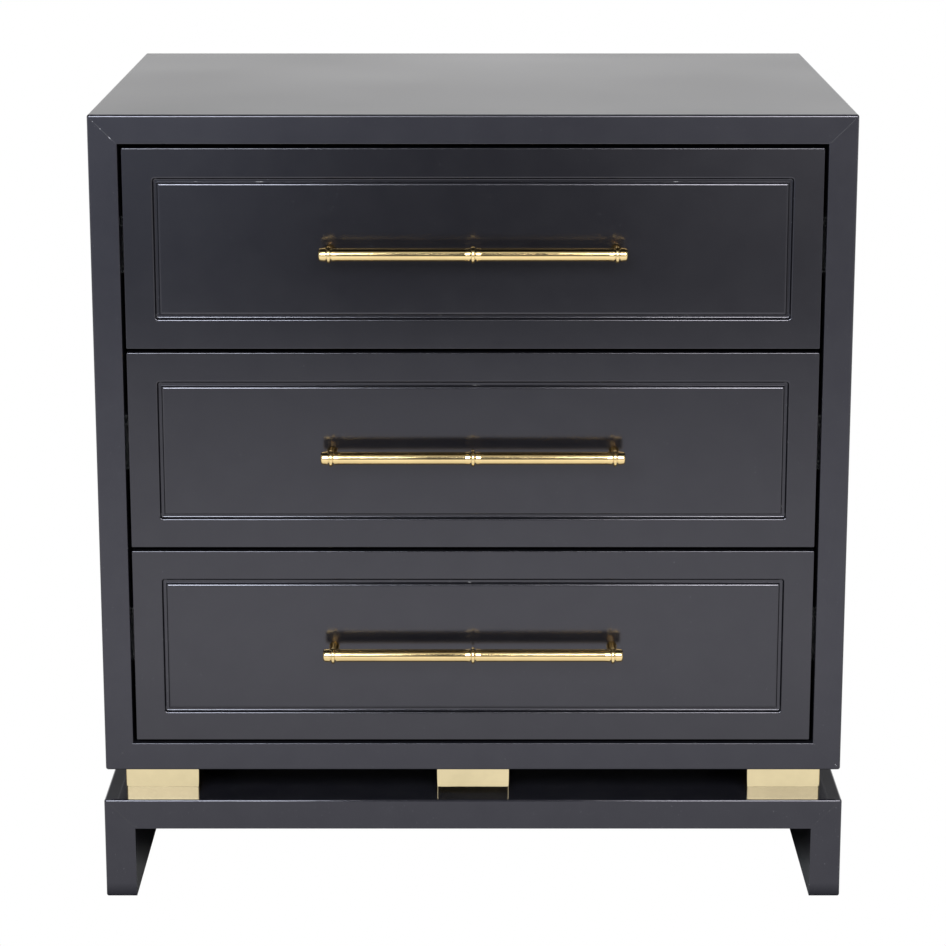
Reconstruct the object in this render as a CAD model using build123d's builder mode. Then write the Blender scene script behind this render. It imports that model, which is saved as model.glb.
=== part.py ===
"""Three-drawer bedside cabinet: a mitred lacquered case carried on brass blocks above a low bridge-shaped base.

Millimetres, +Z up, the drawers open towards -Y. The origin is on the floor, at the centre of the
whole piece's plan, with the drawer pulls included.
"""
import os

from build123d import *

# --- Case: four mitred panels round the drawer opening -----------------------------------------
CASE_WIDTH = 600.0
CASE_DEPTH = 450.0
CASE_HEIGHT = 536.0
PANEL = 23.0
CASE_EDGE_RADIUS = 2.0
OPENING_EDGE_RADIUS = 0.8
REBATE_WIDTH = 10.0
REBATE_DEPTH = 8.0

# --- Back panel ---------------------------------------------------------------------------------
BACK_THICKNESS = 6.0
BACK_PLAY = 0.5
SCREW_RADIUS = 1.5
SCREW_HEAD_RADIUS = 3.0
SCREW_HEAD_HEIGHT = 2.0
SCREW_BITE = 12.0
HOLE_SPARE = 1.0
SCREW_EDGE_DISTANCE = 5.0
SCREW_PLAY = 0.1

# --- Base: a top slab on two side slabs that run the full depth ----------------------------------
BASE_LIP = 2.0
BASE_HEIGHT = 84.0
BASE_SLAB = 25.0
BASE_EDGE_RADIUS = 1.8

# --- Brass blocks between base and case ----------------------------------------------------------
BLOCK_SIZE = 60.0
BLOCK_HEIGHT = 25.0
BLOCK_INSET = 15.0
BLOCK_EDGE_RADIUS = 1.2
BOLT_RADIUS = 3.0
BOLT_HEAD_RADIUS = 6.0
BOLT_HEAD_HEIGHT = 5.0
BOLT_HEAD_SINK = 1.0
BOLT_BITE = 14.0
BOLT_PLAY = 0.2

# --- Drawers ---------------------------------------------------------------------------------------
DRAWER_NAMES = ["top", "middle", "bottom"]
REVEAL = 3.0
FRONT_THICKNESS = 20.0
FRONT_EDGE_RADIUS = 0.8
BOX_LENGTH = 400.0
BOX_HEIGHT = 110.0
BOX_WALL = 12.0
BOX_RISE = 20.0
BOX_EDGE_RADIUS = 2.0
BOTTOM_THICKNESS = 6.0
BOTTOM_RISE = 12.0
BOTTOM_GROOVE = 6.0
BOTTOM_PLAY = 0.2

# --- Routed line round each drawer front -------------------------------------------------------------
LINE_INSET = 22.5
LINE_OUTER_ROUND = 1.4
LINE_FLOOR = 3.0
LINE_COVE = 1.5
LINE_INNER_ROUND = 2.4
LINE_DEPTH = 3.0
LINE_CORNER_RADIUS = 2.0

# --- Slides: three nested channels on each side of a drawer ---------------------------------------
SLIDE_GAP = 13.0
SLIDE_LENGTH = 350.0
SLIDE_SETBACK = 30.0
OUTER_SHEET = 1.2
INNER_SHEET = 1.0
OUTER_DEPTH = 10.5
MIDDLE_OFFSET = 1.8
MIDDLE_DEPTH = 9.8
INNER_OFFSET = 3.4
OUTER_HALF_HEIGHT = 22.5
MIDDLE_HALF_HEIGHT = 19.4
INNER_HALF_HEIGHT = 16.0

# --- Pulls -------------------------------------------------------------------------------------------
PULL_STANDOFF = 25.4
PULL_SPACING = 224.0
STUB_LENGTH = 7.9
BAR_RADIUS = 5.0
FLARE_RADIUS = 5.4
FLARE_LENGTH = 6.0
NECK_RADIUS = 4.4
NECK_WIDTH = 1.1
BEAD_RADIUS = 6.6
BEAD_HALF_WIDTH = 1.4
BEAD_CROWN = 0.9
STUB_EDGE_RADIUS = 1.8
POST_RADIUS = 3.5
POST_FOOT_RADIUS = 4.2
POST_FOOT_HEIGHT = 1.2
PULL_SCREW_RADIUS = 1.9
PULL_SCREW_HOLE = 2.2
PULL_THREAD_RADIUS = 2.0
PULL_SCREW_BITE = 8.0
PULL_SCREW_HEAD_RADIUS = 4.0
PULL_SCREW_HEAD_HEIGHT = 2.5

# --- Planes and levels worked out from the sizes above -----------------------------------------------
PULL_PROJECTION = PULL_STANDOFF + BEAD_RADIUS
TOTAL_DEPTH = PULL_PROJECTION + CASE_DEPTH + BASE_LIP
CASE_FRONT = -TOTAL_DEPTH / 2 + PULL_PROJECTION
CASE_BACK = CASE_FRONT + CASE_DEPTH
CASE_CENTRE_Y = (CASE_FRONT + CASE_BACK) / 2
CASE_BOTTOM = BASE_HEIGHT + BLOCK_HEIGHT
CASE_TOP = CASE_BOTTOM + CASE_HEIGHT
CASE_CENTRE_Z = (CASE_BOTTOM + CASE_TOP) / 2
OPENING_WIDTH = CASE_WIDTH - 2 * PANEL
OPENING_HEIGHT = CASE_HEIGHT - 2 * PANEL
OPENING_BOTTOM = CASE_BOTTOM + PANEL
OPENING_TOP = CASE_TOP - PANEL
REBATE_FLOOR_Y = CASE_BACK - REBATE_DEPTH
BASE_WIDTH = CASE_WIDTH + 2 * BASE_LIP
BASE_DEPTH = CASE_DEPTH + 2 * BASE_LIP
BASE_UNDERSIDE = BASE_HEIGHT - BASE_SLAB
FRONT_WIDTH = OPENING_WIDTH - 2 * REVEAL
FRONT_HEIGHT = (OPENING_HEIGHT - (len(DRAWER_NAMES) + 1) * REVEAL) / len(DRAWER_NAMES)
FRONT_BACK_Y = CASE_FRONT + FRONT_THICKNESS
BOX_HALF_WIDTH = OPENING_WIDTH / 2 - SLIDE_GAP
BAR_Y = CASE_FRONT - PULL_STANDOFF

BLOCK_X = CASE_WIDTH / 2 - BLOCK_INSET - BLOCK_SIZE / 2
BLOCK_FRONT_Y = CASE_FRONT + BLOCK_INSET + BLOCK_SIZE / 2
BLOCK_BACK_Y = CASE_BACK - BLOCK_INSET - BLOCK_SIZE / 2
BLOCK_PLACES = {
    "front_left": (-BLOCK_X, BLOCK_FRONT_Y),
    "front_middle": (0.0, BLOCK_FRONT_Y),
    "front_right": (BLOCK_X, BLOCK_FRONT_Y),
    "back_left": (-BLOCK_X, BLOCK_BACK_Y),
    "back_middle": (0.0, BLOCK_BACK_Y),
    "back_right": (BLOCK_X, BLOCK_BACK_Y),
}

SIDES = {"left": -1, "right": 1}

os.makedirs("parts", exist_ok=True)


def cross_section(y):
    """The upright plane facing the front at depth y: local x is +X and local y is +Z."""
    return Plane.XZ.offset(-y)


def mitre_plane(x, z, inward_x, inward_z):
    """A 45 degree cut through the corner (x, z), running front to back."""
    return Plane(origin=(x, 0, z), x_dir=(0, 1, 0), z_dir=(inward_x, 0, inward_z))


# ======================================================================================================
# Case
# ======================================================================================================

# Fixing points of the back panel: three up each side, two along the top and the bottom.
side_screw_x = OPENING_WIDTH / 2 + SCREW_EDGE_DISTANCE
end_screw_x = OPENING_WIDTH / 4
side_screw_levels = [CASE_CENTRE_Z - OPENING_HEIGHT / 3, CASE_CENTRE_Z, CASE_CENTRE_Z + OPENING_HEIGHT / 3]
back_screw_places = []
for screw_x in (-side_screw_x, side_screw_x):
    for screw_z in side_screw_levels:
        back_screw_places.append((screw_x, screw_z))
for screw_x in (-end_screw_x, end_screw_x):
    back_screw_places.append((screw_x, OPENING_BOTTOM - SCREW_EDGE_DISTANCE))
    back_screw_places.append((screw_x, OPENING_TOP + SCREW_EDGE_DISTANCE))

# The whole ring is shaped first and then cut into its four panels at the mitres.
with BuildPart() as case_ring:
    with Locations((0, CASE_CENTRE_Y, CASE_CENTRE_Z)):
        Box(CASE_WIDTH, CASE_DEPTH, CASE_HEIGHT)
    fillet(case_ring.edges(), CASE_EDGE_RADIUS)
    with BuildSketch(cross_section(CASE_BACK)):
        with Locations((0, CASE_CENTRE_Z)):
            Rectangle(OPENING_WIDTH, OPENING_HEIGHT)
    extrude(amount=CASE_DEPTH, mode=Mode.SUBTRACT)
    opening_rim = case_ring.faces().sort_by(Axis.Y)[0].inner_wires()[0].edges()
    fillet(opening_rim, OPENING_EDGE_RADIUS)
    with BuildSketch(cross_section(CASE_BACK)):
        with Locations((0, CASE_CENTRE_Z)):
            Rectangle(OPENING_WIDTH + 2 * REBATE_WIDTH, OPENING_HEIGHT + 2 * REBATE_WIDTH)
    extrude(amount=REBATE_DEPTH, mode=Mode.SUBTRACT)
    with BuildSketch(cross_section(REBATE_FLOOR_Y)):
        with Locations(back_screw_places):
            Circle(SCREW_RADIUS + SCREW_PLAY)
    extrude(amount=SCREW_BITE + HOLE_SPARE, mode=Mode.SUBTRACT)
    with BuildSketch(Plane.XY.offset(CASE_BOTTOM)):
        with Locations(list(BLOCK_PLACES.values())):
            Circle(BOLT_RADIUS + BOLT_PLAY)
    extrude(amount=BOLT_BITE + HOLE_SPARE, mode=Mode.SUBTRACT)

top_left_cut = mitre_plane(-CASE_WIDTH / 2, CASE_TOP, 1, 1)
top_right_cut = mitre_plane(CASE_WIDTH / 2, CASE_TOP, -1, 1)
bottom_left_cut = mitre_plane(-CASE_WIDTH / 2, CASE_BOTTOM, 1, -1)
bottom_right_cut = mitre_plane(CASE_WIDTH / 2, CASE_BOTTOM, -1, -1)

# Each mitre plane faces the panel above or below it, and away from the side panel next to it.
case_panels = {
    "case_top": [(top_left_cut, Keep.TOP), (top_right_cut, Keep.TOP)],
    "case_bottom": [(bottom_left_cut, Keep.TOP), (bottom_right_cut, Keep.TOP)],
    "case_left": [(top_left_cut, Keep.BOTTOM), (bottom_left_cut, Keep.BOTTOM)],
    "case_right": [(top_right_cut, Keep.BOTTOM), (bottom_right_cut, Keep.BOTTOM)],
}
for panel_name, cuts in case_panels.items():
    with BuildPart() as case_panel:
        add(case_ring.part)
        for cut_plane, kept_side in cuts:
            split(bisect_by=cut_plane, keep=kept_side)
    case_panel.part.label = panel_name
    export_step(case_panel.part, f"parts/{panel_name}.step")

# Thin back panel, lying in the rebate.
with BuildPart() as case_back:
    with BuildSketch(cross_section(REBATE_FLOOR_Y + BACK_THICKNESS)):
        with Locations((0, CASE_CENTRE_Z)):
            Rectangle(
                OPENING_WIDTH + 2 * (REBATE_WIDTH - BACK_PLAY),
                OPENING_HEIGHT + 2 * (REBATE_WIDTH - BACK_PLAY),
            )
        with Locations(back_screw_places):
            Circle(SCREW_RADIUS + SCREW_PLAY, mode=Mode.SUBTRACT)
    extrude(amount=BACK_THICKNESS)
case_back.part.label = "case_back"
export_step(case_back.part, "parts/case_back.step")

with BuildPart() as back_panel_screws:
    with BuildSketch(cross_section(REBATE_FLOOR_Y + BACK_THICKNESS)):
        with Locations(back_screw_places):
            Circle(SCREW_RADIUS)
    extrude(amount=BACK_THICKNESS + SCREW_BITE)
    with BuildSketch(cross_section(REBATE_FLOOR_Y + BACK_THICKNESS + SCREW_HEAD_HEIGHT)):
        with Locations(back_screw_places):
            Circle(SCREW_HEAD_RADIUS)
    extrude(amount=SCREW_HEAD_HEIGHT)
back_panel_screws.part.label = "back_panel_screws"
export_step(back_panel_screws.part, "parts/back_panel_screws.step")

# ======================================================================================================
# Base and brass blocks
# ======================================================================================================

with BuildPart() as base_bridge:
    with Locations((0, CASE_CENTRE_Y, BASE_HEIGHT / 2)):
        Box(BASE_WIDTH, BASE_DEPTH, BASE_HEIGHT)
    fillet(base_bridge.edges(), BASE_EDGE_RADIUS)
    with BuildSketch(cross_section(CASE_BACK + BASE_LIP)):
        with Locations((0, BASE_UNDERSIDE / 2)):
            Rectangle(BASE_WIDTH - 2 * BASE_SLAB, BASE_UNDERSIDE)
    extrude(amount=BASE_DEPTH, mode=Mode.SUBTRACT)
    for block_x, block_y in BLOCK_PLACES.values():
        with Locations(Plane(origin=(block_x, block_y, BASE_UNDERSIDE), z_dir=(0, 0, -1))):
            CounterBoreHole(
                radius=BOLT_RADIUS + BOLT_PLAY,
                counter_bore_radius=BOLT_HEAD_RADIUS + BOLT_PLAY,
                counter_bore_depth=BOLT_HEAD_HEIGHT + BOLT_HEAD_SINK,
                depth=BASE_SLAB,
            )

base_left_cut = mitre_plane(-BASE_WIDTH / 2, BASE_HEIGHT, 1, 1)
base_right_cut = mitre_plane(BASE_WIDTH / 2, BASE_HEIGHT, -1, 1)
base_slabs = {
    "base_top": [(base_left_cut, Keep.TOP), (base_right_cut, Keep.TOP)],
    "base_leg_left": [(base_left_cut, Keep.BOTTOM)],
    "base_leg_right": [(base_right_cut, Keep.BOTTOM)],
}
for slab_name, cuts in base_slabs.items():
    with BuildPart() as base_slab:
        add(base_bridge.part)
        for cut_plane, kept_side in cuts:
            split(bisect_by=cut_plane, keep=kept_side)
    base_slab.part.label = slab_name
    export_step(base_slab.part, f"parts/{slab_name}.step")

for place_name, (block_x, block_y) in BLOCK_PLACES.items():
    block_name = f"brass_block_{place_name}"
    with BuildPart() as brass_block:
        with Locations((block_x, block_y, BASE_HEIGHT + BLOCK_HEIGHT / 2)):
            Box(BLOCK_SIZE, BLOCK_SIZE, BLOCK_HEIGHT)
            fillet(brass_block.edges().filter_by(Axis.Z), BLOCK_EDGE_RADIUS)
            Hole(BOLT_RADIUS + BOLT_PLAY, BLOCK_HEIGHT)
    brass_block.part.label = block_name
    export_step(brass_block.part, f"parts/{block_name}.step")

# One bolt up through the base, the block and into the case at each block.
with BuildPart() as block_bolts:
    bolt_head_top = BASE_UNDERSIDE + BOLT_HEAD_HEIGHT + BOLT_HEAD_SINK
    with BuildSketch(Plane.XY.offset(bolt_head_top - BOLT_HEAD_HEIGHT)):
        with Locations(list(BLOCK_PLACES.values())):
            Circle(BOLT_HEAD_RADIUS)
    extrude(amount=BOLT_HEAD_HEIGHT)
    with BuildSketch(Plane.XY.offset(bolt_head_top)):
        with Locations(list(BLOCK_PLACES.values())):
            Circle(BOLT_RADIUS)
    extrude(amount=CASE_BOTTOM + BOLT_BITE - bolt_head_top)
block_bolts.part.label = "block_bolts"
export_step(block_bolts.part, "parts/block_bolts.step")


# ======================================================================================================
# Slides
# ======================================================================================================

def slide_channel(side_sign, level, wall_offset, depth, half_height, sheet, opens_to_drawer):
    """A channel section along Y: its web is upright, and its flanges point to or from the drawer.

    wall_offset is the distance of the channel's nearest face from the case side.
    """
    near_x = OPENING_WIDTH / 2 - wall_offset
    centre_x = side_sign * (near_x - depth / 2)
    hollow_shift = side_sign * (-sheet if opens_to_drawer else sheet)
    with BuildPart() as channel:
        with BuildSketch(cross_section(FRONT_BACK_Y + SLIDE_SETBACK + SLIDE_LENGTH)):
            with Locations((centre_x, level)):
                Rectangle(depth, 2 * half_height)
            with Locations((centre_x + hollow_shift, level)):
                Rectangle(depth, 2 * (half_height - sheet), mode=Mode.SUBTRACT)
        extrude(amount=SLIDE_LENGTH)
    return channel


# Where each channel starts, how deep it is, how tall, its sheet, and which way it opens. The
# gaps between the channels are the room that the ball races run in.
SLIDE_CHANNELS = {
    "slide_case": (0.0, OUTER_DEPTH, OUTER_HALF_HEIGHT, OUTER_SHEET, True),
    "slide_carriage": (MIDDLE_OFFSET, MIDDLE_DEPTH, MIDDLE_HALF_HEIGHT, INNER_SHEET, True),
    "slide_drawer": (INNER_OFFSET, SLIDE_GAP - INNER_OFFSET, INNER_HALF_HEIGHT, INNER_SHEET, False),
}

# ======================================================================================================
# Drawers
# ======================================================================================================

for drawer_index, drawer_name in enumerate(DRAWER_NAMES):
    front_top = OPENING_TOP - REVEAL - drawer_index * (FRONT_HEIGHT + REVEAL)
    front_bottom = front_top - FRONT_HEIGHT
    front_centre_z = (front_top + front_bottom) / 2
    box_bottom = front_bottom + BOX_RISE
    box_top = box_bottom + BOX_HEIGHT
    bottom_level = box_bottom + BOTTOM_RISE

    # Front: a flush slab with a routed line, coved on its outer side, round an eased inner panel.
    with BuildPart() as drawer_front:
        with Locations((0, CASE_FRONT + FRONT_THICKNESS / 2, front_centre_z)):
            Box(FRONT_WIDTH, FRONT_THICKNESS, FRONT_HEIGHT)
        fillet(drawer_front.edges(), FRONT_EDGE_RADIUS)
        line_outer_inset = LINE_INSET + LINE_OUTER_ROUND
        line_inner_inset = line_outer_inset + LINE_FLOOR
        with BuildSketch(cross_section(CASE_FRONT + LINE_DEPTH)):
            with Locations((0, front_centre_z)):
                RectangleRounded(
                    FRONT_WIDTH - 2 * line_outer_inset,
                    FRONT_HEIGHT - 2 * line_outer_inset,
                    LINE_CORNER_RADIUS,
                )
                Rectangle(
                    FRONT_WIDTH - 2 * line_inner_inset,
                    FRONT_HEIGHT - 2 * line_inner_inset,
                    mode=Mode.SUBTRACT,
                )
        extrude(amount=LINE_DEPTH, mode=Mode.SUBTRACT)
        line_floor = drawer_front.faces().filter_by(Axis.Y).group_by(Axis.Y)[1].sort_by(SortBy.AREA)[-1]
        fillet(line_floor.outer_wire().edges(), LINE_COVE)
        front_faces = drawer_front.faces().filter_by(Axis.Y).group_by(Axis.Y)[0].sort_by(SortBy.AREA)
        fillet(front_faces[-1].outer_wire().edges(), LINE_INNER_ROUND)
        border_face = drawer_front.faces().filter_by(Axis.Y).group_by(Axis.Y)[0].sort_by(SortBy.AREA)[0]
        fillet(border_face.inner_wires()[0].edges(), LINE_OUTER_ROUND)
        with BuildSketch(cross_section(FRONT_BACK_Y)):
            with Locations((-PULL_SPACING / 2, front_centre_z), (PULL_SPACING / 2, front_centre_z)):
                Circle(PULL_SCREW_HOLE)
        extrude(amount=FRONT_THICKNESS, mode=Mode.SUBTRACT)
    front_name = f"drawer_{drawer_name}_front"
    drawer_front.part.label = front_name
    export_step(drawer_front.part, f"parts/{front_name}.step")

    # Box sides, each with a groove that holds the bottom.
    for side_name, side_sign in SIDES.items():
        with BuildPart() as box_side:
            side_x = side_sign * (BOX_HALF_WIDTH - BOX_WALL / 2)
            with Locations((side_x, FRONT_BACK_Y + BOX_LENGTH / 2, box_bottom + BOX_HEIGHT / 2)):
                Box(BOX_WALL, BOX_LENGTH, BOX_HEIGHT)
            upper_edges = box_side.edges().filter_by(Axis.Y).group_by(Axis.Z)[-1]
            fillet(upper_edges, BOX_EDGE_RADIUS)
            groove_x = side_sign * (BOX_HALF_WIDTH - BOX_WALL + BOTTOM_GROOVE / 2)
            groove_height = BOTTOM_THICKNESS + 2 * BOTTOM_PLAY
            with Locations((groove_x, FRONT_BACK_Y + BOX_LENGTH / 2, bottom_level + groove_height / 2)):
                Box(BOTTOM_GROOVE, BOX_LENGTH, groove_height, mode=Mode.SUBTRACT)
        box_side_name = f"drawer_{drawer_name}_side_{side_name}"
        box_side.part.label = box_side_name
        export_step(box_side.part, f"parts/{box_side_name}.step")

    # Bottom, slid in under the back and held in the side grooves.
    bottom_width = 2 * (BOX_HALF_WIDTH - BOX_WALL + BOTTOM_GROOVE - BOTTOM_PLAY)
    with BuildPart() as box_floor:
        with Locations((0, FRONT_BACK_Y + BOX_LENGTH / 2, bottom_level + BOTTOM_THICKNESS / 2)):
            Box(bottom_width, BOX_LENGTH, BOTTOM_THICKNESS)
    box_floor_name = f"drawer_{drawer_name}_bottom"
    box_floor.part.label = box_floor_name
    export_step(box_floor.part, f"parts/{box_floor_name}.step")

    # Back, standing on the bottom between the sides.
    back_foot = bottom_level + BOTTOM_THICKNESS
    with BuildPart() as box_back:
        with Locations((0, FRONT_BACK_Y + BOX_LENGTH - BOX_WALL / 2, (back_foot + box_top) / 2)):
            Box(2 * (BOX_HALF_WIDTH - BOX_WALL), BOX_WALL, box_top - back_foot)
        back_upper_edges = box_back.edges().filter_by(Axis.X).group_by(Axis.Z)[-1]
        fillet(back_upper_edges, BOX_EDGE_RADIUS)
    box_back_name = f"drawer_{drawer_name}_back"
    box_back.part.label = box_back_name
    export_step(box_back.part, f"parts/{box_back_name}.step")

    # Slides at half the height of the box, one set on each side.
    slide_level = box_bottom + BOX_HEIGHT / 2
    for side_name, side_sign in SIDES.items():
        for member_name, member_shape in SLIDE_CHANNELS.items():
            slide_member = slide_channel(side_sign, slide_level, *member_shape)
            slide_name = f"{member_name}_{drawer_name}_{side_name}"
            slide_member.part.label = slide_name
            export_step(slide_member.part, f"parts/{slide_name}.step")

    # Pull bar: a turned rod with a beaded ring between two necks at each post and at the middle.
    bar_length = PULL_SPACING + 2 * STUB_LENGTH
    ring_places = [(-PULL_SPACING / 2, 0), (0, 0), (PULL_SPACING / 2, 0)]
    flare_start = BEAD_HALF_WIDTH + NECK_WIDTH
    with BuildPart() as pull_bar:
        with BuildSketch(Plane(origin=(0, BAR_Y, front_centre_z), x_dir=(1, 0, 0), z_dir=(0, 0, 1))):
            with Locations((0, BAR_RADIUS / 2)):
                Rectangle(bar_length, BAR_RADIUS)
            with Locations(ring_places):
                Polygon(
                    (-FLARE_LENGTH, 0),
                    (FLARE_LENGTH, 0),
                    (FLARE_LENGTH, BAR_RADIUS),
                    (flare_start, FLARE_RADIUS),
                    (-flare_start, FLARE_RADIUS),
                    (-FLARE_LENGTH, BAR_RADIUS),
                    align=None,
                )
                Polygon(
                    (-flare_start, NECK_RADIUS),
                    (flare_start, NECK_RADIUS),
                    (flare_start, BEAD_RADIUS),
                    (-flare_start, BEAD_RADIUS),
                    align=None,
                    mode=Mode.SUBTRACT,
                )
                Polygon(
                    (-BEAD_HALF_WIDTH, 0),
                    (BEAD_HALF_WIDTH, 0),
                    (BEAD_HALF_WIDTH, BEAD_RADIUS - BEAD_CROWN),
                    (-BEAD_HALF_WIDTH, BEAD_RADIUS - BEAD_CROWN),
                    align=None,
                )
            with Locations([(ring_x, BEAD_RADIUS - BEAD_CROWN) for ring_x, _ in ring_places]):
                Ellipse(BEAD_HALF_WIDTH, BEAD_CROWN)
        revolve(axis=Axis((0, BAR_Y, front_centre_z), (1, 0, 0)))
        bar_end_edges = pull_bar.edges().filter_by(GeomType.CIRCLE).group_by(Axis.X)
        fillet(bar_end_edges[0] + bar_end_edges[-1], STUB_EDGE_RADIUS)
    bar_name = f"pull_{drawer_name}_bar"
    pull_bar.part.label = bar_name
    export_step(pull_bar.part, f"parts/{bar_name}.step")

    # Posts: short round pillars, saddled to the rings and tapped for the screws.
    post_places = [(-PULL_SPACING / 2, front_centre_z), (PULL_SPACING / 2, front_centre_z)]
    with BuildPart() as pull_posts:
        with BuildSketch(cross_section(CASE_FRONT)):
            with Locations(post_places):
                Circle(POST_RADIUS)
        extrude(amount=PULL_STANDOFF)
        foot_planes = [Plane(origin=(x, CASE_FRONT, z), z_dir=(0, -1, 0)) for x, z in post_places]
        with Locations(foot_planes):
            Cone(
                bottom_radius=POST_FOOT_RADIUS,
                top_radius=POST_RADIUS,
                height=POST_FOOT_HEIGHT,
                align=(Align.CENTER, Align.CENTER, Align.MIN),
            )
        add(pull_bar.part, mode=Mode.SUBTRACT)
        with BuildSketch(cross_section(CASE_FRONT)):
            with Locations(post_places):
                Circle(PULL_THREAD_RADIUS)
        extrude(amount=PULL_SCREW_BITE + HOLE_SPARE, mode=Mode.SUBTRACT)
    posts_name = f"pull_{drawer_name}_posts"
    pull_posts.part.label = posts_name
    export_step(pull_posts.part, f"parts/{posts_name}.step")

    # Screws through the drawer front into the posts.
    with BuildPart() as pull_screws:
        with BuildSketch(cross_section(FRONT_BACK_Y)):
            with Locations(post_places):
                Circle(PULL_SCREW_RADIUS)
        extrude(amount=FRONT_THICKNESS + PULL_SCREW_BITE)
        with BuildSketch(cross_section(FRONT_BACK_Y + PULL_SCREW_HEAD_HEIGHT)):
            with Locations(post_places):
                Circle(PULL_SCREW_HEAD_RADIUS)
        extrude(amount=PULL_SCREW_HEAD_HEIGHT)
        screw_crowns = pull_screws.faces().sort_by(Axis.Y)[-2:].edges()
        fillet(screw_crowns, PULL_SCREW_HEAD_HEIGHT / 2)
    screws_name = f"pull_{drawer_name}_screws"
    pull_screws.part.label = screws_name
    export_step(pull_screws.part, f"parts/{screws_name}.step")
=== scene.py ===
"""Looks of the three-drawer bedside cabinet: its finishes, small fittings and studio."""
import math

import bpy
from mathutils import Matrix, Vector


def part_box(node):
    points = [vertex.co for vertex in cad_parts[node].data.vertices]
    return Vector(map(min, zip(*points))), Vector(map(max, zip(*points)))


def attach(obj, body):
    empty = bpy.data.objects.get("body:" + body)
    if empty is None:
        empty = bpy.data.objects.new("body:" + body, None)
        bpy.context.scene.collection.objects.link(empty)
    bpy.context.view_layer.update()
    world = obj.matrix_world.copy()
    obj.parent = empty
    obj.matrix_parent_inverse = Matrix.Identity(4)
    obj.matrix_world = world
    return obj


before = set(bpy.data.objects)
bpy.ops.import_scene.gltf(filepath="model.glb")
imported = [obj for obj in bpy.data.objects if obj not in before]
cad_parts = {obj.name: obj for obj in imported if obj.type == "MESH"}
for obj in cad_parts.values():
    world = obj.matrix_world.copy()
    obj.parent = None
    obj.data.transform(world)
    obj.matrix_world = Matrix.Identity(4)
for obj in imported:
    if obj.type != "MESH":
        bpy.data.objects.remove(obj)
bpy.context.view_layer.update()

DRAWERS = ("top", "middle", "bottom")
SIDES = {"left": -1, "right": 1}

# ----------------------------------------------------------------------------------------------------
# Node helpers
# ----------------------------------------------------------------------------------------------------

# A colour Mix node's sockets share their names with its number and vector sockets, so they go by index.
MIX_FIRST = 6
MIX_SECOND = 7
MIX_RESULT = 2
# The cosine between the rounded and the true normal: under the first on an arris, over the second on a flat.
EDGE_TURNED = 0.88
EDGE_FLAT = 0.976
EDGE_SAMPLES = 4


def map_range(tree, source, low, high, start=0.0, end=1.0):
    """Maps source from start..end to low..high, clamped."""
    node = tree.nodes.new("ShaderNodeMapRange")
    node.inputs["From Min"].default_value = start
    node.inputs["From Max"].default_value = end
    node.inputs["To Min"].default_value = low
    node.inputs["To Max"].default_value = high
    tree.links.new(source, node.inputs["Value"])
    return node.outputs["Result"]


def arithmetic(tree, operation, first, second=0.0):
    """One Math node; each operand is a number or a socket."""
    node = tree.nodes.new("ShaderNodeMath")
    node.operation = operation
    for socket, value in zip(node.inputs, (first, second)):
        if isinstance(value, float):
            socket.default_value = value
        else:
            tree.links.new(value, socket)
    return node.outputs["Value"]


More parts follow.
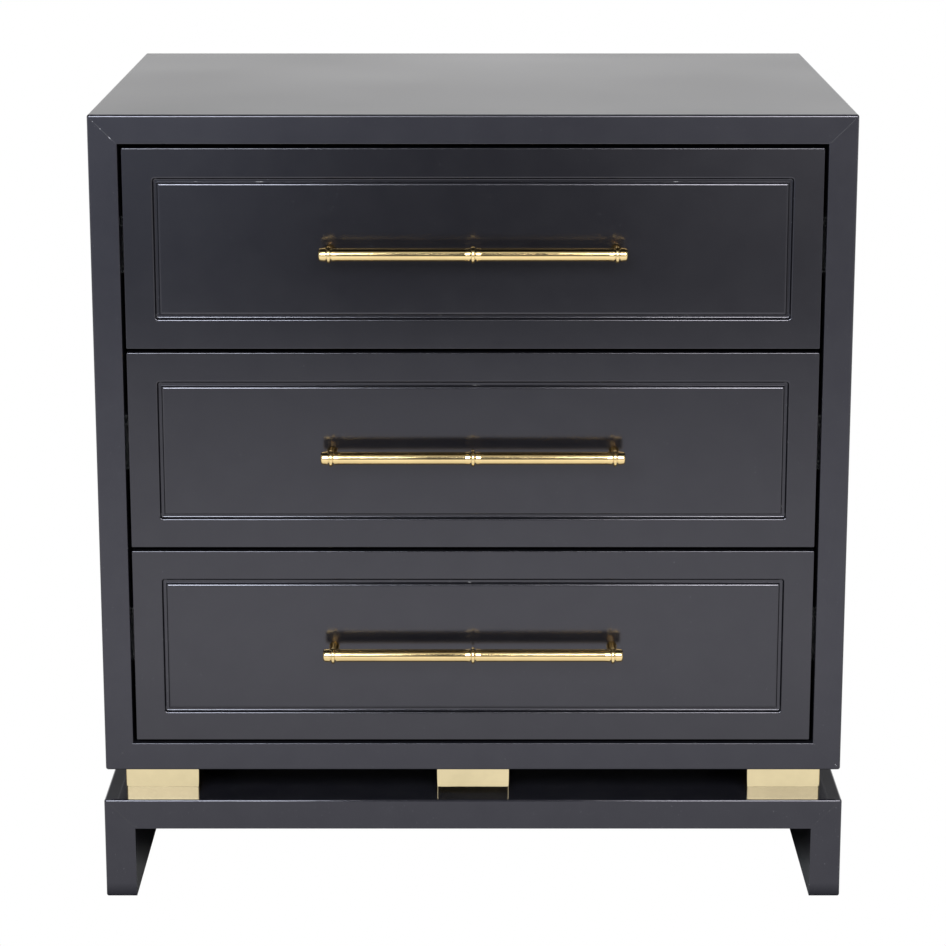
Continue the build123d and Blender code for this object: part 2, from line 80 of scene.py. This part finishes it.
class Shader:
    """A material's node tree, with short ways to add the nodes that the finishes share."""

    def __init__(self, name):
        self.material = bpy.data.materials.new(name)
        self.material.use_nodes = True
        self.tree = self.material.node_tree
        self.nodes = self.tree.nodes
        self.links = self.tree.links
        self.nodes.clear()
        self.output = self.nodes.new("ShaderNodeOutputMaterial")
        self.bsdf = self.nodes.new("ShaderNodeBsdfPrincipled")
        self.links.new(self.bsdf.outputs["BSDF"], self.output.inputs["Surface"])
        self.coordinates = self.nodes.new("ShaderNodeTexCoord").outputs["Object"]

    def fixed(self, **values):
        """Sets the shader's own sockets; a name's underscores stand for spaces."""
        for name, value in values.items():
            self.bsdf.inputs[name.replace("_", " ")].default_value = value

    def link(self, source, socket_name):
        self.links.new(source, self.bsdf.inputs[socket_name])

    def stretched(self, scale):
        """Object coordinates scaled by axis, so that a pattern runs along one of them."""
        mapping = self.nodes.new("ShaderNodeMapping")
        mapping.inputs["Scale"].default_value = scale
        self.links.new(self.coordinates, mapping.inputs["Vector"])
        return mapping.outputs["Vector"]

    def noise(self, scale, detail=2.0, roughness=0.5, vector=None, distortion=0.0):
        node = self.nodes.new("ShaderNodeTexNoise")
        node.inputs["Scale"].default_value = scale
        node.inputs["Detail"].default_value = detail
        node.inputs["Roughness"].default_value = roughness
        node.inputs["Distortion"].default_value = distortion
        self.links.new(vector or self.coordinates, node.inputs["Vector"])
        return node.outputs["Fac"]

    def ramp(self, source, low, high, start=0.0, end=1.0):
        return map_range(self.tree, source, low, high, start, end)

    def mask(self, source, start, end):
        """0 where source is below start, and 1 where it is above end."""
        return self.ramp(source, 0.0, 1.0, start, end)

    def math(self, operation, first, second=0.0):
        return arithmetic(self.tree, operation, first, second)

    def mix(self, factor, first, second):
        """Mixes two colours, each a tuple or a socket."""
        node = self.nodes.new("ShaderNodeMix")
        node.data_type = "RGBA"
        self.links.new(factor, node.inputs["Factor"])
        for socket, value in ((node.inputs[MIX_FIRST], first), (node.inputs[MIX_SECOND], second)):
            if isinstance(value, tuple):
                socket.default_value = (*value, 1.0)
            else:
                self.links.new(value, socket)
        return node.outputs[MIX_RESULT]

    def bump(self, height, strength, distance):
        node = self.nodes.new("ShaderNodeBump")
        node.inputs["Strength"].default_value = strength
        node.inputs["Distance"].default_value = distance
        self.links.new(height, node.inputs["Height"])
        return node.outputs["Normal"]

    def edge_mask(self, radius):
        """1 on the arrises and 0 on the flats, from how far a rounded normal turns from the true one."""
        bevel = self.nodes.new("ShaderNodeBevel")
        bevel.samples = EDGE_SAMPLES
        bevel.inputs["Radius"].default_value = radius
        geometry = self.nodes.new("ShaderNodeNewGeometry")
        dot = self.nodes.new("ShaderNodeVectorMath")
        dot.operation = "DOT_PRODUCT"
        self.links.new(bevel.outputs["Normal"], dot.inputs[0])
        self.links.new(geometry.outputs["True Normal"], dot.inputs[1])
        return self.ramp(dot.outputs["Value"], low=1.0, high=0.0, start=EDGE_TURNED, end=EDGE_FLAT)


# ----------------------------------------------------------------------------------------------------
# Finishes
# ----------------------------------------------------------------------------------------------------

PANEL_DARK = (0.005, 0.005, 0.007)
PANEL_LIGHT = (0.007, 0.007, 0.009)
DRAWER_DARK = (0.0025, 0.0025, 0.0035)
DRAWER_LIGHT = (0.004, 0.004, 0.005)
LACQUER_SPECULAR_TINT = (0.91, 0.89, 1.0, 1.0)
LACQUER_DUST = (0.16, 0.16, 0.17)
LACQUER_CHIP = (0.42, 0.41, 0.40)
CHIP_RADIUS = 0.0007
BOARD_DARK = (0.012, 0.012, 0.013)
BOARD_LIGHT = (0.030, 0.029, 0.029)
BAR_BRASS = (0.67, 0.51, 0.255)
BLOCK_BRASS = (0.635, 0.535, 0.325)
BRASS_SPECULAR_TINT = (0.95, 0.72, 0.40, 1.0)
BRASS_TARNISH = 0.86
BIRCH_LIGHT = (0.31, 0.22, 0.13)
BIRCH_DARK = (0.23, 0.155, 0.085)
BOTTOM_LIGHT = (0.30, 0.215, 0.13)
BOTTOM_DARK = (0.25, 0.17, 0.10)
BIRCH_PORE = 0.6
GRAIN_ALONG_X = (0.12, 1.0, 1.0)
GRAIN_ALONG_Y = (1.0, 0.12, 1.0)
ZINC_DARK = (0.50, 0.51, 0.53)
ZINC_LIGHT = (0.62, 0.63, 0.65)
# Heights of surface grain, in metres.
FINE_GRAIN = 0.0001
COARSE_GRAIN = 0.0002
BOARD_GRAIN = 0.0003


def black_lacquer(name, dark, light, rough_low, rough_high, ior):
    """Sprayed near-black lacquer: faint mottling and orange peel, a little dust, a few chipped arrises."""
    shader = Shader(name)
    mottle = shader.noise(scale=38.0, detail=4.0, roughness=0.6)
    tone = shader.mix(shader.mask(mottle, start=0.3, end=0.7), dark, light)
    specks = shader.noise(scale=900.0, detail=1.0, roughness=0.4)
    dust = shader.ramp(specks, low=0.0, high=0.5, start=0.76, end=0.82)
    dusty = shader.mix(dust, tone, LACQUER_DUST)
    patches = shader.mask(shader.noise(scale=55.0, detail=3.0, roughness=0.7), start=0.67, end=0.73)
    chips = shader.math("MULTIPLY", patches, shader.edge_mask(CHIP_RADIUS))
    shader.link(shader.mix(chips, dusty, LACQUER_CHIP), "Base Color")
    smears = shader.ramp(shader.noise(scale=3.0), low=rough_low, high=rough_high, start=0.3, end=0.7)
    grit = shader.ramp(shader.noise(scale=420.0), low=-0.01, high=0.01)
    shader.link(shader.math("ADD", smears, grit), "Roughness")
    orange_peel = shader.noise(scale=260.0, detail=1.5, roughness=0.45)
    shader.link(shader.bump(orange_peel, strength=0.05, distance=FINE_GRAIN), "Normal")
    shader.fixed(IOR=ior, Specular_Tint=LACQUER_SPECULAR_TINT)
    return shader.material


def back_board():
    """Matt black stained board with a faint upright grain."""
    shader = Shader("back_board")
    upright = shader.stretched((6.0, 6.0, 0.5))
    fibres = shader.noise(scale=60.0, detail=5.0, roughness=0.6, vector=upright)
    streaks = shader.mask(fibres, start=0.3, end=0.7)
    shader.link(shader.mix(streaks, BOARD_DARK, BOARD_LIGHT), "Base Color")
    shader.link(shader.ramp(fibres, low=0.45, high=0.62, start=0.3, end=0.7), "Roughness")
    shader.link(shader.bump(fibres, strength=0.35, distance=BOARD_GRAIN), "Normal")
    return shader.material


def brass(name, rough_low, rough_high, brush_scale, tint):
    """Polished brass with fine brushing along one axis, faint tarnish and small scratches."""
    shader = Shader(name)
    tarnish = shader.noise(scale=22.0, detail=4.0, roughness=0.6)
    dull = tuple(BRASS_TARNISH * channel for channel in tint)
    shader.link(shader.mix(shader.mask(tarnish, start=0.35, end=0.75), tint, dull), "Base Color")
    brushing = shader.noise(scale=240.0, detail=3.0, roughness=0.6, vector=shader.stretched(brush_scale))
    smudge = shader.noise(scale=14.0)
    rough = shader.ramp(smudge, low=rough_low, high=rough_high, start=0.3, end=0.7)
    scratches = shader.ramp(brushing, low=-0.02, high=0.03)
    shader.link(shader.math("ADD", rough, scratches), "Roughness")
    shader.link(shader.bump(brushing, strength=0.06, distance=FINE_GRAIN), "Normal")
    shader.fixed(Metallic=1.0, Specular_Tint=BRASS_SPECULAR_TINT)
    return shader.material


def birch(name, along, light, dark):
    """Clear-oiled birch with its grain along one axis: scale factors are small along the grain."""
    shader = Shader(name)
    vector = shader.stretched(along)
    rings = shader.noise(scale=26.0, detail=4.0, roughness=0.55, vector=vector, distortion=1.2)
    pores = shader.noise(scale=300.0, roughness=0.6, vector=vector)
    body = shader.mix(shader.mask(rings, start=0.35, end=0.68), light, dark)
    pore_tone = tuple(BIRCH_PORE * channel for channel in dark)
    pore_marks = shader.ramp(pores, low=0.0, high=0.5, start=0.55, end=0.75)
    shader.link(shader.mix(pore_marks, body, pore_tone), "Base Color")
    shader.link(shader.ramp(rings, low=0.38, high=0.52), "Roughness")
    shader.link(shader.bump(pores, strength=0.15, distance=COARSE_GRAIN), "Normal")
    return shader.material


def zinc_steel(name, brush_scale):
    """Zinc-plated sheet: rolled streaks, cloudy spangle, soft gloss."""
    shader = Shader(name)
    spangle = shader.noise(scale=45.0, detail=3.0, roughness=0.6)
    streaks = shader.noise(scale=180.0, detail=3.0, roughness=0.6, vector=shader.stretched(brush_scale))
    clouds = shader.mask(spangle, start=0.3, end=0.7)
    shader.link(shader.mix(clouds, ZINC_DARK, ZINC_LIGHT), "Base Color")
    shader.link(shader.ramp(streaks, low=0.26, high=0.42), "Roughness")
    shader.link(shader.bump(streaks, strength=0.08, distance=FINE_GRAIN), "Normal")
    shader.fixed(Metallic=1.0)
    return shader.material


def paint(node_name, material):
    """Gives a CAD node's object this material in every slot."""
    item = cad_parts[node_name]
    if not item.material_slots:
        item.data.materials.append(material)
    for material_slot in item.material_slots:
        material_slot.material = material


CASE_LACQUER = black_lacquer(
    "case_lacquer", PANEL_DARK, PANEL_LIGHT, rough_low=0.20, rough_high=0.24, ior=1.5
)
DRAWER_LACQUER = black_lacquer(
    "drawer_lacquer", DRAWER_DARK, DRAWER_LIGHT, rough_low=0.14, rough_high=0.17, ior=1.54
)
BASE_LACQUER = black_lacquer(
    "base_lacquer", PANEL_DARK, PANEL_LIGHT, rough_low=0.06, rough_high=0.09, ior=1.51
)
BACK_BOARD = back_board()
BRASS_BAR = brass(
    "brass_pull", rough_low=0.06, rough_high=0.15, brush_scale=(0.2, 3.0, 3.0), tint=BAR_BRASS
)
BRASS_BLOCK = brass(
    "brass_block", rough_low=0.03, rough_high=0.06, brush_scale=(0.15, 0.15, 3.0), tint=BLOCK_BRASS
)
BIRCH_SIDES = birch("birch_sides", GRAIN_ALONG_Y, BIRCH_LIGHT, BIRCH_DARK)
BIRCH_BACK = birch("birch_back", GRAIN_ALONG_X, BIRCH_LIGHT, BIRCH_DARK)
BIRCH_BOTTOM = birch("birch_bottom", GRAIN_ALONG_X, BOTTOM_LIGHT, BOTTOM_DARK)
SLIDE_STEEL = zinc_steel("zinc_slide", brush_scale=(3.0, 0.1, 3.0))
FASTENER_STEEL = zinc_steel("zinc_fastener", brush_scale=(1.0, 1.0, 1.0))


def finish_of(node_name):
    """The finish that a CAD node's name calls for."""
    if node_name == "case_back":
        return BACK_BOARD
    if node_name.startswith("brass_block"):
        return BRASS_BLOCK
    if node_name.startswith("slide_"):
        return SLIDE_STEEL
    if node_name.endswith(("_screws", "_bolts")):
        return FASTENER_STEEL
    if node_name.startswith("pull_"):
        return BRASS_BAR
    if node_name.startswith("drawer_") and not node_name.endswith("_front"):
        part = node_name.split("_", 2)[2]
        return {"back": BIRCH_BACK, "bottom": BIRCH_BOTTOM}.get(part, BIRCH_SIDES)
    if node_name.startswith("base_"):
        return BASE_LACQUER
    return CASE_LACQUER if node_name.startswith("case_") else DRAWER_LACQUER


for cad_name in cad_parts:
    paint(cad_name, finish_of(cad_name))

# ----------------------------------------------------------------------------------------------------
# Small fittings that the CAD leaves out: mitre joint lines, slide balls and slide screws
# ----------------------------------------------------------------------------------------------------

LINE_WIDTH = 0.00035
LINE_HEIGHT = 0.00003
LINE_CORNER_GAP = 0.003
LINE_LACQUER = (0.008, 0.008, 0.010)
LINE_FILLER = (0.30, 0.30, 0.31)
BALL_PITCH = 0.006
BALLS_PER_ROW = 12
BALL_PLAY = 0.0002
BALL_POLE = 0.01
SLIDE_SHEET = 0.0012
SLIDE_WEB = 0.0010
RETAINER_WIDTH = 0.003
RETAINER_SHEET = 0.0006
BALL_SEGMENTS = 12
BALL_RINGS = 8
SCREW_RADIUS = 0.0040
SCREW_HEIGHT = 0.0020
SCREW_SOCKET_RADIUS = 0.0018
SCREW_SOCKET_DEPTH = 0.0012
SCREW_SEGMENTS = 32
SCREW_SINK = 0.0001
SCREW_POSITIONS = (0.1, 0.5, 0.9)
# A pan head's half section, as (radius, height), from the middle of its socket out to its rim.
SCREW_PROFILE = (
    (0.0002, SCREW_HEIGHT - SCREW_SOCKET_DEPTH),
    (SCREW_SOCKET_RADIUS * 0.6, SCREW_HEIGHT - SCREW_SOCKET_DEPTH),
    (SCREW_SOCKET_RADIUS, SCREW_HEIGHT),
    (SCREW_RADIUS * 0.70, SCREW_HEIGHT),
    (SCREW_RADIUS * 0.92, SCREW_HEIGHT * 0.72),
    (SCREW_RADIUS, SCREW_HEIGHT * 0.35),
    (SCREW_RADIUS, -SCREW_SINK),
)


class Soup:
    """Vertices and faces gathered from several shapes into one mesh."""

    def __init__(self):
        self.points = []
        self.faces = []

    def box(self, low, high):
        start = len(self.points)
        for x in (low[0], high[0]):
            for y in (low[1], high[1]):
                for z in (low[2], high[2]):
                    self.points.append((x, y, z))
        for quad in ((0, 1, 3, 2), (4, 6, 7, 5), (0, 4, 5, 1), (2, 3, 7, 6), (0, 2, 6, 4), (1, 5, 7, 3)):
            self.faces.append(tuple(start + corner for corner in quad))

    def ridge(self, first, last, face_y, outward):
        """A shallow three-sided ridge between two points (x, z) of an upright face."""
        along = Vector((last[0] - first[0], 0.0, last[1] - first[1])).normalized()
        across = along.cross(Vector((0.0, 1.0, 0.0))) * (LINE_WIDTH / 2)
        start = len(self.points)
        for x, z in (first, last):
            foot = Vector((x, face_y, z))
            crest = foot + Vector((0.0, outward * LINE_HEIGHT, 0.0))
            self.points.extend((foot - across, foot + across, crest))
        for face in ((0, 2, 1), (3, 4, 5), (0, 1, 4, 3), (1, 2, 5, 4), (2, 0, 3, 5)):
            self.faces.append(tuple(start + corner for corner in face))

    def lathe(self, centre, axis, profile, segments):
        """Turns a profile of (radius, height) pairs round an axis through the centre."""
        turn = Vector((0.0, 0.0, 1.0)).rotation_difference(axis)
        start = len(self.points)
        for radius, height in profile:
            for step in range(segments):
                angle = math.tau * step / segments
                point = Vector((radius * math.cos(angle), radius * math.sin(angle), height))
                self.points.append(Vector(centre) + turn @ point)
        for ring in range(len(profile) - 1):
            for step in range(segments):
                a = start + ring * segments + step
                b = start + ring * segments + (step + 1) % segments
                self.faces.append((a, b, b + segments, a + segments))

    def ball(self, centre, radius):
        profile = []
        for ring in range(BALL_RINGS + 1):
            angle = math.pi * (ring / BALL_RINGS - 0.5)
            profile.append((max(radius * math.cos(angle), radius * BALL_POLE), radius * math.sin(angle)))
        self.lathe(centre, Vector((0.0, 0.0, 1.0)), profile, BALL_SEGMENTS)

    def piece(self, name, material, body, smooth=False):
        """Makes the mesh, which then moves with a CAD body."""
        mesh = bpy.data.meshes.new(name)
        mesh.from_pydata([tuple(point) for point in self.points], [], self.faces)
        mesh.validate()
        mesh.polygons.foreach_set("use_smooth", [smooth] * len(mesh.polygons))
        mesh.materials.append(material)
        item = bpy.data.objects.new(name, mesh)
        bpy.context.scene.collection.objects.link(item)
        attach(item, body)


def joint_line():
    """A mitre's glue line: lacquer that has opened here and there and shows pale filler."""
    shader = Shader("mitre_line")
    breaks = shader.mask(shader.noise(scale=160.0, detail=3.0, roughness=0.7), start=0.60, end=0.68)
    shader.link(shader.mix(breaks, LINE_LACQUER, LINE_FILLER), "Base Color")
    shader.link(shader.ramp(breaks, low=0.25, high=0.60), "Roughness")
    shader.link(shader.bump(breaks, strength=0.10, distance=FINE_GRAIN), "Normal")
    return shader.material


MITRE_LINE = joint_line()


def mitre_lines(name, corners, face_y, outward):
    """Lines from each outer corner (x, z) inwards at 45 degrees, by the panel's thickness."""
    soup = Soup()
    for (x, z), (inward_x, inward_z), thickness in corners:
        ends = []
        for reach in (LINE_CORNER_GAP, thickness - LINE_CORNER_GAP / 2):
            ends.append((x + inward_x * reach, z + inward_z * reach))
        soup.ridge(ends[0], ends[1], face_y, outward)
    soup.piece(name, MITRE_LINE, "cabinet")


top_low, top_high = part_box("case_top")
left_low, left_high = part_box("case_left")
right_low, right_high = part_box("case_right")
panel_thickness = top_high.z - top_low.z
case_corners = [
    ((left_low.x, left_high.z), (1, -1), panel_thickness),
    ((right_high.x, right_high.z), (-1, -1), panel_thickness),
    ((left_low.x, left_low.z), (1, 1), panel_thickness),
    ((right_high.x, right_low.z), (-1, 1), panel_thickness),
]
slab_low, slab_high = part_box("base_top")
slab_thickness = slab_high.z - slab_low.z
base_corners = [
    ((slab_low.x, slab_high.z), (1, -1), slab_thickness),
    ((slab_high.x, slab_high.z), (-1, -1), slab_thickness),
]
mitre_lines("case_mitres_front", case_corners, top_low.y, -1)
mitre_lines("base_mitres_front", base_corners, slab_low.y, -1)
mitre_lines("base_mitres_back", base_corners, slab_high.y, 1)


def ball_rows(drawer, side):
    """Rows of balls in their retainer strips, between the slide's members, above and below."""
    case_low, case_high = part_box(f"slide_case_{drawer}_{side}")
    carriage_low, carriage_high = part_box(f"slide_carriage_{drawer}_{side}")
    inner_low, inner_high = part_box(f"slide_drawer_{drawer}_{side}")
    soup = Soup()
    gaps = [
        (carriage_high.z, case_high.z - SLIDE_SHEET),
        (case_low.z + SLIDE_SHEET, carriage_low.z),
        (inner_high.z, carriage_high.z - SLIDE_SHEET),
        (carriage_low.z + SLIDE_SHEET, inner_low.z),
    ]
    row_x = (max(carriage_low.x, inner_low.x) + min(carriage_high.x, inner_high.x)) / 2
    for low, high in gaps:
        centre_z = (low + high) / 2
        for row_start in (carriage_low.y + BALL_PITCH, carriage_high.y - BALL_PITCH * BALLS_PER_ROW):
            row_end = row_start + BALL_PITCH * (BALLS_PER_ROW - 1)
            half = RETAINER_WIDTH / 2
            soup.box(
                (row_x - half, row_start - half, centre_z - RETAINER_SHEET / 2),
                (row_x + half, row_end + half, centre_z + RETAINER_SHEET / 2),
            )
            for step in range(BALLS_PER_ROW):
                soup.ball((row_x, row_start + step * BALL_PITCH, centre_z), (high - low) / 2 - BALL_PLAY)
    soup.piece(f"slide_balls_{drawer}_{side}", SLIDE_STEEL, f"{drawer}_carriage", True)


def slide_screws(drawer, side, side_sign):
    """Pan-head screws that hold the drawer's slide member to the drawer side."""
    low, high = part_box(f"slide_drawer_{drawer}_{side}")
    box_low, box_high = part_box(f"drawer_{drawer}_side_{side}")
    web_face = box_high.x + SLIDE_WEB if side_sign > 0 else box_low.x - SLIDE_WEB
    soup = Soup()
    for fraction in SCREW_POSITIONS:
        centre = (web_face, low.y + fraction * (high.y - low.y), (low.z + high.z) / 2)
        soup.lathe(centre, Vector((side_sign, 0.0, 0.0)), SCREW_PROFILE, SCREW_SEGMENTS)
    soup.piece(f"slide_screws_{drawer}_{side}", FASTENER_STEEL, f"{drawer}_drawer", True)


for drawer_name in DRAWERS:
    for side_name, sign in SIDES.items():
        ball_rows(drawer_name, side_name)
        slide_screws(drawer_name, side_name, sign)

# ----------------------------------------------------------------------------------------------------
# Studio
# ----------------------------------------------------------------------------------------------------

FLOOR_HALF_WIDTH = 3.0
FLOOR_FRONT = -2.6
FLOOR_BACK = 4.0
FLOOR_GREY = (0.12, 0.12, 0.12, 1.0)
SHADE_FADE = 0.03
WHITE = (1.0, 1.0, 1.0)
COOL_WHITE = (0.88, 0.94, 1.0)
LEFT_TINT = (0.90, 0.97, 1.10)
CABINET_AIM = (0.0, 0.0, 0.4)
UPPER_AIM = (0.0, 0.0, 0.5)
# Each softbox's place, the point that it faces, its width and height, its power in watts and its colour.
SOFTBOXES = {
    "front_left": ((-0.9, -3.0, 1.85), CABINET_AIM, 1.25, 1.0, 148.0, COOL_WHITE),
    "front_right": ((0.9, -3.0, 1.85), CABINET_AIM, 1.25, 1.0, 115.0, WHITE),
    "low_left": ((-0.9, -3.05, 1.17), CABINET_AIM, 1.25, 0.42, 10.4, WHITE),
    "low_right": ((0.9, -3.05, 1.17), CABINET_AIM, 1.25, 0.42, 8.1, WHITE),
    "overhead": ((0.0, -1.75, 2.45), UPPER_AIM, 2.6, 0.8, 6.0, WHITE),
    "left_side": ((-2.4, 0.2, 1.1), CABINET_AIM, 1.2, 1.8, 12.0, WHITE),
    "right_side": ((2.4, 0.2, 1.1), CABINET_AIM, 1.2, 1.8, 12.0, WHITE),
    "rear": ((0.0, 1.6, 2.9), CABINET_AIM, 2.0, 1.2, 18.0, WHITE),
}


def seen_white(tree, reflected, output):
    """White where the camera looks straight at it, and the given shading to every other ray."""
    seen = tree.nodes.new("ShaderNodeEmission")
    path = tree.nodes.new("ShaderNodeLightPath")
    chosen = tree.nodes.new("ShaderNodeMixShader")
    tree.links.new(path.outputs["Is Camera Ray"], chosen.inputs["Fac"])
    tree.links.new(reflected, chosen.inputs[1])
    tree.links.new(seen.outputs[0], chosen.inputs[2])
    tree.links.new(chosen.outputs[0], output.inputs["Surface"])


def studio_floor():
    """A white floor whose glow is painted light: a painted pool of light in front of the cabinet, dimmer far
    from it, painted contact shade close to it and a painted shadow underneath it.
    """
    mesh = bpy.data.meshes.new("floor")
    corners = [
        (-FLOOR_HALF_WIDTH, FLOOR_FRONT, 0.0),
        (FLOOR_HALF_WIDTH, FLOOR_FRONT, 0.0),
        (FLOOR_HALF_WIDTH, FLOOR_BACK, 0.0),
        (-FLOOR_HALF_WIDTH, FLOOR_BACK, 0.0),
    ]
    mesh.from_pydata(corners, [], [(0, 1, 2, 3)])
    floor = bpy.data.objects.new("floor", mesh)
    bpy.context.scene.collection.objects.link(floor)
    shader = Shader("studio_floor")
    shader.nodes.remove(shader.bsdf)
    separate = shader.nodes.new("ShaderNodeSeparateXYZ")
    shader.links.new(shader.coordinates, separate.inputs["Vector"])

    # The painted pool of light is brightest from 0.85 to 1.05 m before the cabinet's middle; nearer the
    # cabinet it dims as painted contact shade.
    approach = shader.ramp(separate.outputs["Y"], low=0.50, high=1.35, start=-2.4, end=-1.05)
    painted_contact_shade = shader.ramp(separate.outputs["Y"], low=1.0, high=0.72, start=-0.85, end=-0.4)
    near = shader.math("MULTIPLY", approach, painted_contact_shade)

    # Painted shadow: the floor gives no light under the base, and its full light from SHADE_FADE outside the
    # base.
    base_low, base_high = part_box("base_top")
    base_middle = (base_low.y + base_high.y) / 2
    beside = shader.math("SUBTRACT", shader.math("ABSOLUTE", separate.outputs["X"]), base_high.x)
    from_middle = shader.math("SUBTRACT", separate.outputs["Y"], base_middle)
    half_depth = (base_high.y - base_low.y) / 2
    before = shader.math("SUBTRACT", shader.math("ABSOLUTE", from_middle), half_depth)
    outside = shader.math("MAXIMUM", beside, before)
    glow = shader.nodes.new("ShaderNodeEmission")
    clear_of_painted_shadow = shader.mask(outside, start=0.0, end=SHADE_FADE)
    shader.links.new(shader.math("MULTIPLY", near, clear_of_painted_shadow), glow.inputs["Strength"])
    diffuse = shader.nodes.new("ShaderNodeBsdfDiffuse")
    diffuse.inputs["Color"].default_value = FLOOR_GREY
    both = shader.nodes.new("ShaderNodeAddShader")
    shader.links.new(glow.outputs[0], both.inputs[0])
    shader.links.new(diffuse.outputs[0], both.inputs[1])
    seen_white(shader.tree, both.outputs[0], shader.output)
    floor.data.materials.append(shader.material)


def surroundings():
    """White to the camera. Reflections see a bright backdrop, a dim front and a dark ceiling."""
    world = bpy.data.worlds.new("studio")
    bpy.context.scene.world = world
    world.use_nodes = True
    tree = world.node_tree
    nodes, links = tree.nodes, tree.links
    nodes.clear()
    output = nodes.new("ShaderNodeOutputWorld")
    separate = nodes.new("ShaderNodeSeparateXYZ")
    links.new(nodes.new("ShaderNodeTexCoord").outputs["Generated"], separate.inputs["Vector"])
    right, back, up = (separate.outputs[axis] for axis in "XYZ")

    # The front is dimmest straight ahead, and brightest in a band just under the horizon.
    sideways = arithmetic(tree, "MULTIPLY", right, right)
    off_centre = map_range(tree, sideways, low=0.10, high=1.30, start=0.0, end=0.0105)
    over_floor = map_range(tree, up, low=0.28, high=0.95, start=-0.175, end=-0.125)
    under_horizon = map_range(tree, up, low=1.0, high=0.12, start=-0.05, end=0.10)
    front = arithmetic(tree, "MULTIPLY", over_floor, off_centre)
    front_band = arithmetic(tree, "MULTIPLY", front, under_horizon)

    # The backdrop is bright up to a little over the horizon.
    backwards = map_range(tree, back, low=0.0, high=1.0, start=-0.10, end=0.40)
    backdrop = map_range(tree, up, low=1.00, high=0.20, start=0.13, end=0.32)
    behind = arithmetic(tree, "MULTIPLY", backdrop, backwards)

    ceiling = map_range(tree, up, low=1.0, high=0.10, start=0.60, end=0.80)
    brighter = arithmetic(tree, "MAXIMUM", front_band, behind)
    reflected = nodes.new("ShaderNodeBackground")
    links.new(arithmetic(tree, "MULTIPLY", brighter, ceiling), reflected.inputs["Strength"])

    # Only the front's left half is bluish.
    tint = nodes.new("ShaderNodeMix")
    tint.data_type = "RGBA"
    rightwards = map_range(tree, right, low=0.0, high=1.0, start=-0.08, end=0.0)
    links.new(arithmetic(tree, "MAXIMUM", rightwards, backwards), tint.inputs["Factor"])
    tint.inputs[MIX_FIRST].default_value = (*LEFT_TINT, 1.0)
    tint.inputs[MIX_SECOND].default_value = (*WHITE, 1.0)
    links.new(tint.outputs[MIX_RESULT], reflected.inputs["Color"])
    seen_white(tree, reflected.outputs[0], output)


def softbox(name, place, target, width, height, power, colour):
    """A rectangular light that faces its target, and that the camera doesn't see."""
    light = bpy.data.lights.new(name, "AREA")
    light.shape = "RECTANGLE"
    light.size = width
    light.size_y = height
    light.energy = power
    light.color = colour
    item = bpy.data.objects.new(name, light)
    bpy.context.scene.collection.objects.link(item)
    item.location = place
    item.rotation_mode = "QUATERNION"
    item.rotation_quaternion = (Vector(target) - Vector(place)).to_track_quat("-Z", "Y")
    item.visible_camera = False


studio_floor()
surroundings()
for softbox_name, softbox_settings in SOFTBOXES.items():
    softbox(softbox_name, *softbox_settings)

# The camera looks along +Y and down at the front, from a little above the top.
CAMERA_PLACE = (0.0, -2.60, 0.945)
CAMERA_PITCH = math.radians(13.78)
CAMERA_LENS = 117.4
CAMERA_SENSOR = 36.0

camera_data = bpy.data.cameras.new("camera")
camera_data.lens = CAMERA_LENS
camera_data.sensor_width = CAMERA_SENSOR
camera = bpy.data.objects.new("camera", camera_data)
bpy.context.scene.collection.objects.link(camera)
camera.location = CAMERA_PLACE
camera.rotation_euler = (math.radians(90) - CAMERA_PITCH, 0.0, 0.0)
bpy.context.scene.camera = camera

view_settings = bpy.context.scene.view_settings
view_settings.view_transform = "Standard"
view_settings.look = "None"
